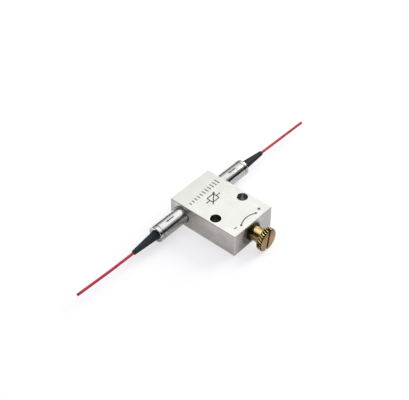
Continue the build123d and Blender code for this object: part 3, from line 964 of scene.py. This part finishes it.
# %% Rubber and jacket finishes
boot_rubber, tree, shader = finish("boot_rubber", IOR=1.5, Specular_IOR_Level=0.1)
where = place_on(tree)
tooth = use(tree, fine_grain, "Height", Vector=where, Grains_per_mm=9.0)
patch = use(tree, handling, "Mask", Vector=where, Patches_per_mm=0.4)
black = mixed(tree, patch, tone(0.011, 0.015, 0.0155), tone(0.018, 0.022, 0.0225))
# Painted light: the nearer boot a little lighter.
near_boot_light = spread(tree, node(tree, "SeparateXYZ", Vector=where).outputs[1], 5 * MM, -5 * MM)
black = mixed(tree, near_boot_light, black, tone(0.026, 0.034, 0.037))
surface(tree, shader, black, spread(tree, patch, 0.0, 1.0, 0.48, 0.62))
bump(tree, shader, tooth, 0.006)

seal_rubber, tree, shader = finish("seal_rubber", IOR=1.5, Specular_IOR_Level=0.2)
tooth = use(tree, fine_grain, "Height", Vector=place_on(tree), Grains_per_mm=12.0)
two_tone(tree, shader, tooth, (tone(0.003, 0.005, 0.005), tone(0.007, 0.01, 0.01)), (0.45, 0.6))
bump(tree, shader, tooth, 0.004)

jacket_red, tree, shader = finish("jacket_red", IOR=1.5, Specular_IOR_Level=0.25)
where = place_on(tree)
drawn = use(tree, fine_grain, "Height", Vector=where, Grains_per_mm=8.0, Stretch=(1.0, 0.03, 1.0))
patch = use(tree, handling, "Mask", Vector=where, Patches_per_mm=0.6)
two_tone(tree, shader, patch, (tone(0.44, 0.02, 0.04), tone(0.50, 0.03, 0.055)), (0.32, 0.42))
bump(tree, shader, drawn, 0.004)

# %% [markdown]
# The small hidden parts get real finishes too, since the part can be taken apart: clear glass for the
# lenses, ferrules and sleeves, a thin pale coating on the fibre, drawn wire and ground steel.

# %% Hidden finishes
optic_glass, tree, shader = finish("optic_glass", IOR=1.52, Transmission_Weight=1.0)
smear = use(tree, handling, "Mask", Vector=place_on(tree), Patches_per_mm=1.5)
two_tone(tree, shader, smear, (tone(0.93, 0.97, 0.96), tone(0.98, 1.0, 0.99)), (0.01, 0.05))

fibre_glass, tree, shader = finish("fibre_glass", IOR=1.5)
smear = use(tree, handling, "Mask", Vector=place_on(tree), Patches_per_mm=2.0)
two_tone(tree, shader, smear, (tone(0.62, 0.66, 0.64), tone(0.72, 0.75, 0.72)), (0.15, 0.25))

hidden_steel = {}
for name, level, gloss in (("needle_steel", 0.62, 0.16), ("spring_steel", 0.45, 0.28)):
    hidden_steel[name], tree, shader = finish(name, Metallic=1.0)
    where = place_on(tree, centre=(0.0, 0.0, AXIS_Z))
    lines = use(tree, turned_lines, "Height", Vector=where, Lines_per_mm=14.0)
    patch = use(tree, handling, "Mask", Vector=where, Patches_per_mm=0.8)
    steels = (tone(level, level, level), tone(level * 1.1, level * 1.09, level * 1.06))
    two_tone(tree, shader, patch, steels, (gloss, gloss + 0.08))
    bump(tree, shader, lines, 0.0015)

# %% [markdown]
# The marks are burnt in by a laser, which leaves a grey, slightly speckled and matte line in the metal.

# %% Finish of the marks
etched_marks, tree, shader = finish("etched_marks", IOR=1.5, Specular_IOR_Level=0.15)
speckle = use(tree, fine_grain, "Tone", Vector=place_on(tree), Grains_per_mm=9.0)
two_tone(tree, shader, speckle, (tone(0.07, 0.066, 0.055), tone(0.14, 0.132, 0.11)), (0.5, 0.7))
bump(tree, shader, speckle, 0.006)

# %% [markdown]
# Each piece gets its finish. The pieces that come from the solid model already have material slots, whose
# material is exchanged; the new pieces have none yet.

# %% Put the finishes on
FINISHES = {
    "housing": block_metal,
    "thumb_screw_turned": screw_brass,
    "blocking_needle": hidden_steel["needle_steel"],
    "thrust_washer": hidden_steel["needle_steel"],
    "wound_return_spring": hidden_steel["spring_steel"],
    "neck_wiper_seal": seal_rubber,
}
for name in SIDES:
    FINISHES[f"{name}_polished_barrel"] = barrel_steel
    FINISHES[f"{name}_turned_cap"] = barrel_steel
    FINISHES[f"{name}_moulded_boot"] = boot_rubber
    FINISHES[f"{name}_pigtail_jacket"] = jacket_red
    FINISHES[f"{name}_coated_fibre"] = fibre_glass
    for part in ("glass_sleeve", "lens", "ferrule"):
        FINISHES[f"{name}_{part}"] = optic_glass
for mark in marks:
    FINISHES[mark.name] = etched_marks

for name, material in FINISHES.items():
    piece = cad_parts.get(name) or bpy.data.objects[name]
    if piece.material_slots:
        for held in piece.material_slots:
            held.material = material
    else:
        piece.data.materials.append(material)
print(len(FINISHES), "pieces have a finish")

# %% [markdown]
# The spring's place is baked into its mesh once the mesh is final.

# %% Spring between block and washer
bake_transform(spring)

# %% [markdown]
# The studio is a sheet of pale paper under a soft white ceiling. The paper is partly lit from below, as on
# a light table, so the object's shadow stays faint. The camera sees that glow in full, and metal mirrors
# less than half of it.

# %% Paper table
TABLE_REACH, TABLE_Z = 4, -2e-5
GLOW_SHARE, MIRRORED_SHARE = 0.66, 0.45
square = np.array([(-1, -1, 0), (1, -1, 0), (1, 1, 0), (-1, 1, 0)])
table_mesh = bpy.data.meshes.new("table")
table_mesh.from_pydata((square * TABLE_REACH + (0, 0, TABLE_Z)).tolist(), [], [(0, 1, 2, 3)])
table = in_scene("table", table_mesh)
table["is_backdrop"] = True

table_paper = bpy.data.materials.new("table_paper")
table_paper.use_nodes = True
tree = table_paper.node_tree
tree.nodes.clear()
rays = node(tree, "LightPath").outputs
mirrored = sums(tree, "MAXIMUM", rays["Is Glossy Ray"], rays["Is Transmission Ray"])
looked_at = sums(tree, "MAXIMUM", rays["Is Camera Ray"], product(tree, mirrored, MIRRORED_SHARE))
paper = node(tree, "BsdfDiffuse", Color=tone(0.96, 0.945, 0.985)).outputs[0]
glow = node(tree, "Emission", Color=tone(1.0, 0.987, 1.0), Strength=1.025).outputs[0]
shown = node(tree, "MixShader", Fac=product(tree, looked_at, GLOW_SHARE))
fill(tree, shown.inputs[1], paper)
fill(tree, shown.inputs[2], glow)
fill(tree, node(tree, "OutputMaterial").inputs["Surface"], shown.outputs[0])
table_mesh.materials.append(table_paper)

# %% [markdown]
# Polished metal is a picture of its room. A ring of black card stands round the table, out of the picture,
# and draws the dark bands on the barrels and the screw's neck. Its upper edge is feathered: the card turns
# clear with height, so the bands fade softly into the bright ceiling. It stands higher on the camera's side.

# %% Black card
CARD_FACETS, CARD_RADIUS, CARD_HEIGHT = 96, 2.0, 4.8
angle = np.arange(CARD_FACETS) * 2 * np.pi / CARD_FACETS
foot_line = [np.cos(angle) * CARD_RADIUS, np.sin(angle) * CARD_RADIUS, np.full(CARD_FACETS, 0.001)]
card_foot = np.stack(foot_line, axis=1)
card_points = np.vstack([card_foot, card_foot + np.array([0.0, 0.0, CARD_HEIGHT])])
foot = np.arange(CARD_FACETS)
beside = np.roll(foot, -1)
card_quads = np.stack([foot, beside, beside + CARD_FACETS, foot + CARD_FACETS], axis=1)
card_mesh = bpy.data.meshes.new("black_card")
card_mesh.from_pydata(card_points.tolist(), [], card_quads.tolist())
card = in_scene("black_card", card_mesh)
card.visible_camera = False
card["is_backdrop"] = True

card_black = bpy.data.materials.new("card_black")
card_black.use_nodes = True
tree = card_black.node_tree
tree.nodes.clear()
axes = node(tree, "SeparateXYZ", Vector=node(tree, "TexCoord").outputs["Object"]).outputs
steepness = sums(tree, "DIVIDE", axes[2], CARD_RADIUS)
rising_right = product(tree, axes[0], 0.1)
rising_forward = product(tree, axes[1], -0.26)
feather_start = sums(tree, "ADD", sums(tree, "ADD", rising_right, rising_forward), 0.575)
cleared = spread(tree, sums(tree, "SUBTRACT", steepness, feather_start), 0.0, 1.15)
faded = node(tree, "MixShader", Fac=cleared)
fill(tree, faded.inputs[1], node(tree, "BsdfDiffuse", Color=tone(0.02, 0.02, 0.022)).outputs[0])
fill(tree, faded.inputs[2], node(tree, "BsdfTransparent").outputs[0])
fill(tree, node(tree, "OutputMaterial").inputs["Surface"], faded.outputs[0])
card_mesh.materials.append(card_black)

# %% [markdown]
# The ceiling is the world itself, an even white. One large, weak softbox stands low behind the object and
# throws its soft shadow forward.

# %% Ceiling and softbox
world = bpy.data.worlds.new("soft_ceiling")
bpy.context.scene.world = world
world.use_nodes = True
background = world.node_tree.nodes["Background"]
background.inputs["Color"].default_value = tone(1.0, 1.0, 1.0)
background.inputs["Strength"].default_value = 1.35

KEY_DISTANCE = 1.6
key_data = bpy.data.lights.new("key_softbox", "AREA")
key_data.shape = "SQUARE"
key_data.size = 0.8
key_data.energy = 26.0
key_data.color = (1.0, 0.995, 0.98)
key = in_scene("key_softbox", key_data)
key_direction = Vector((0.14, 0.87, 0.475)).normalized()
key_turn = key_direction.to_track_quat("Z", "Y").to_matrix().to_4x4()
key.matrix_world = Matrix.Translation(key_direction * KEY_DISTANCE) @ key_turn

# %% [markdown]
# The colours are shown as they are, with no film curve over them.

# %% Colour management
bpy.context.scene.view_settings.view_transform = "Standard"

# %% [markdown]
# The boxes round the solid part and the dressed one are both printed, to be compared. The dressed
# part has to keep the size of the solid one.

# %% Sizes for the record
dressed_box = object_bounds()
for label, box in (("solid", solid_box), ("dressed", dressed_box)):
    print(label, "box", [[round(v / MM, 2) for v in c] for c in box])
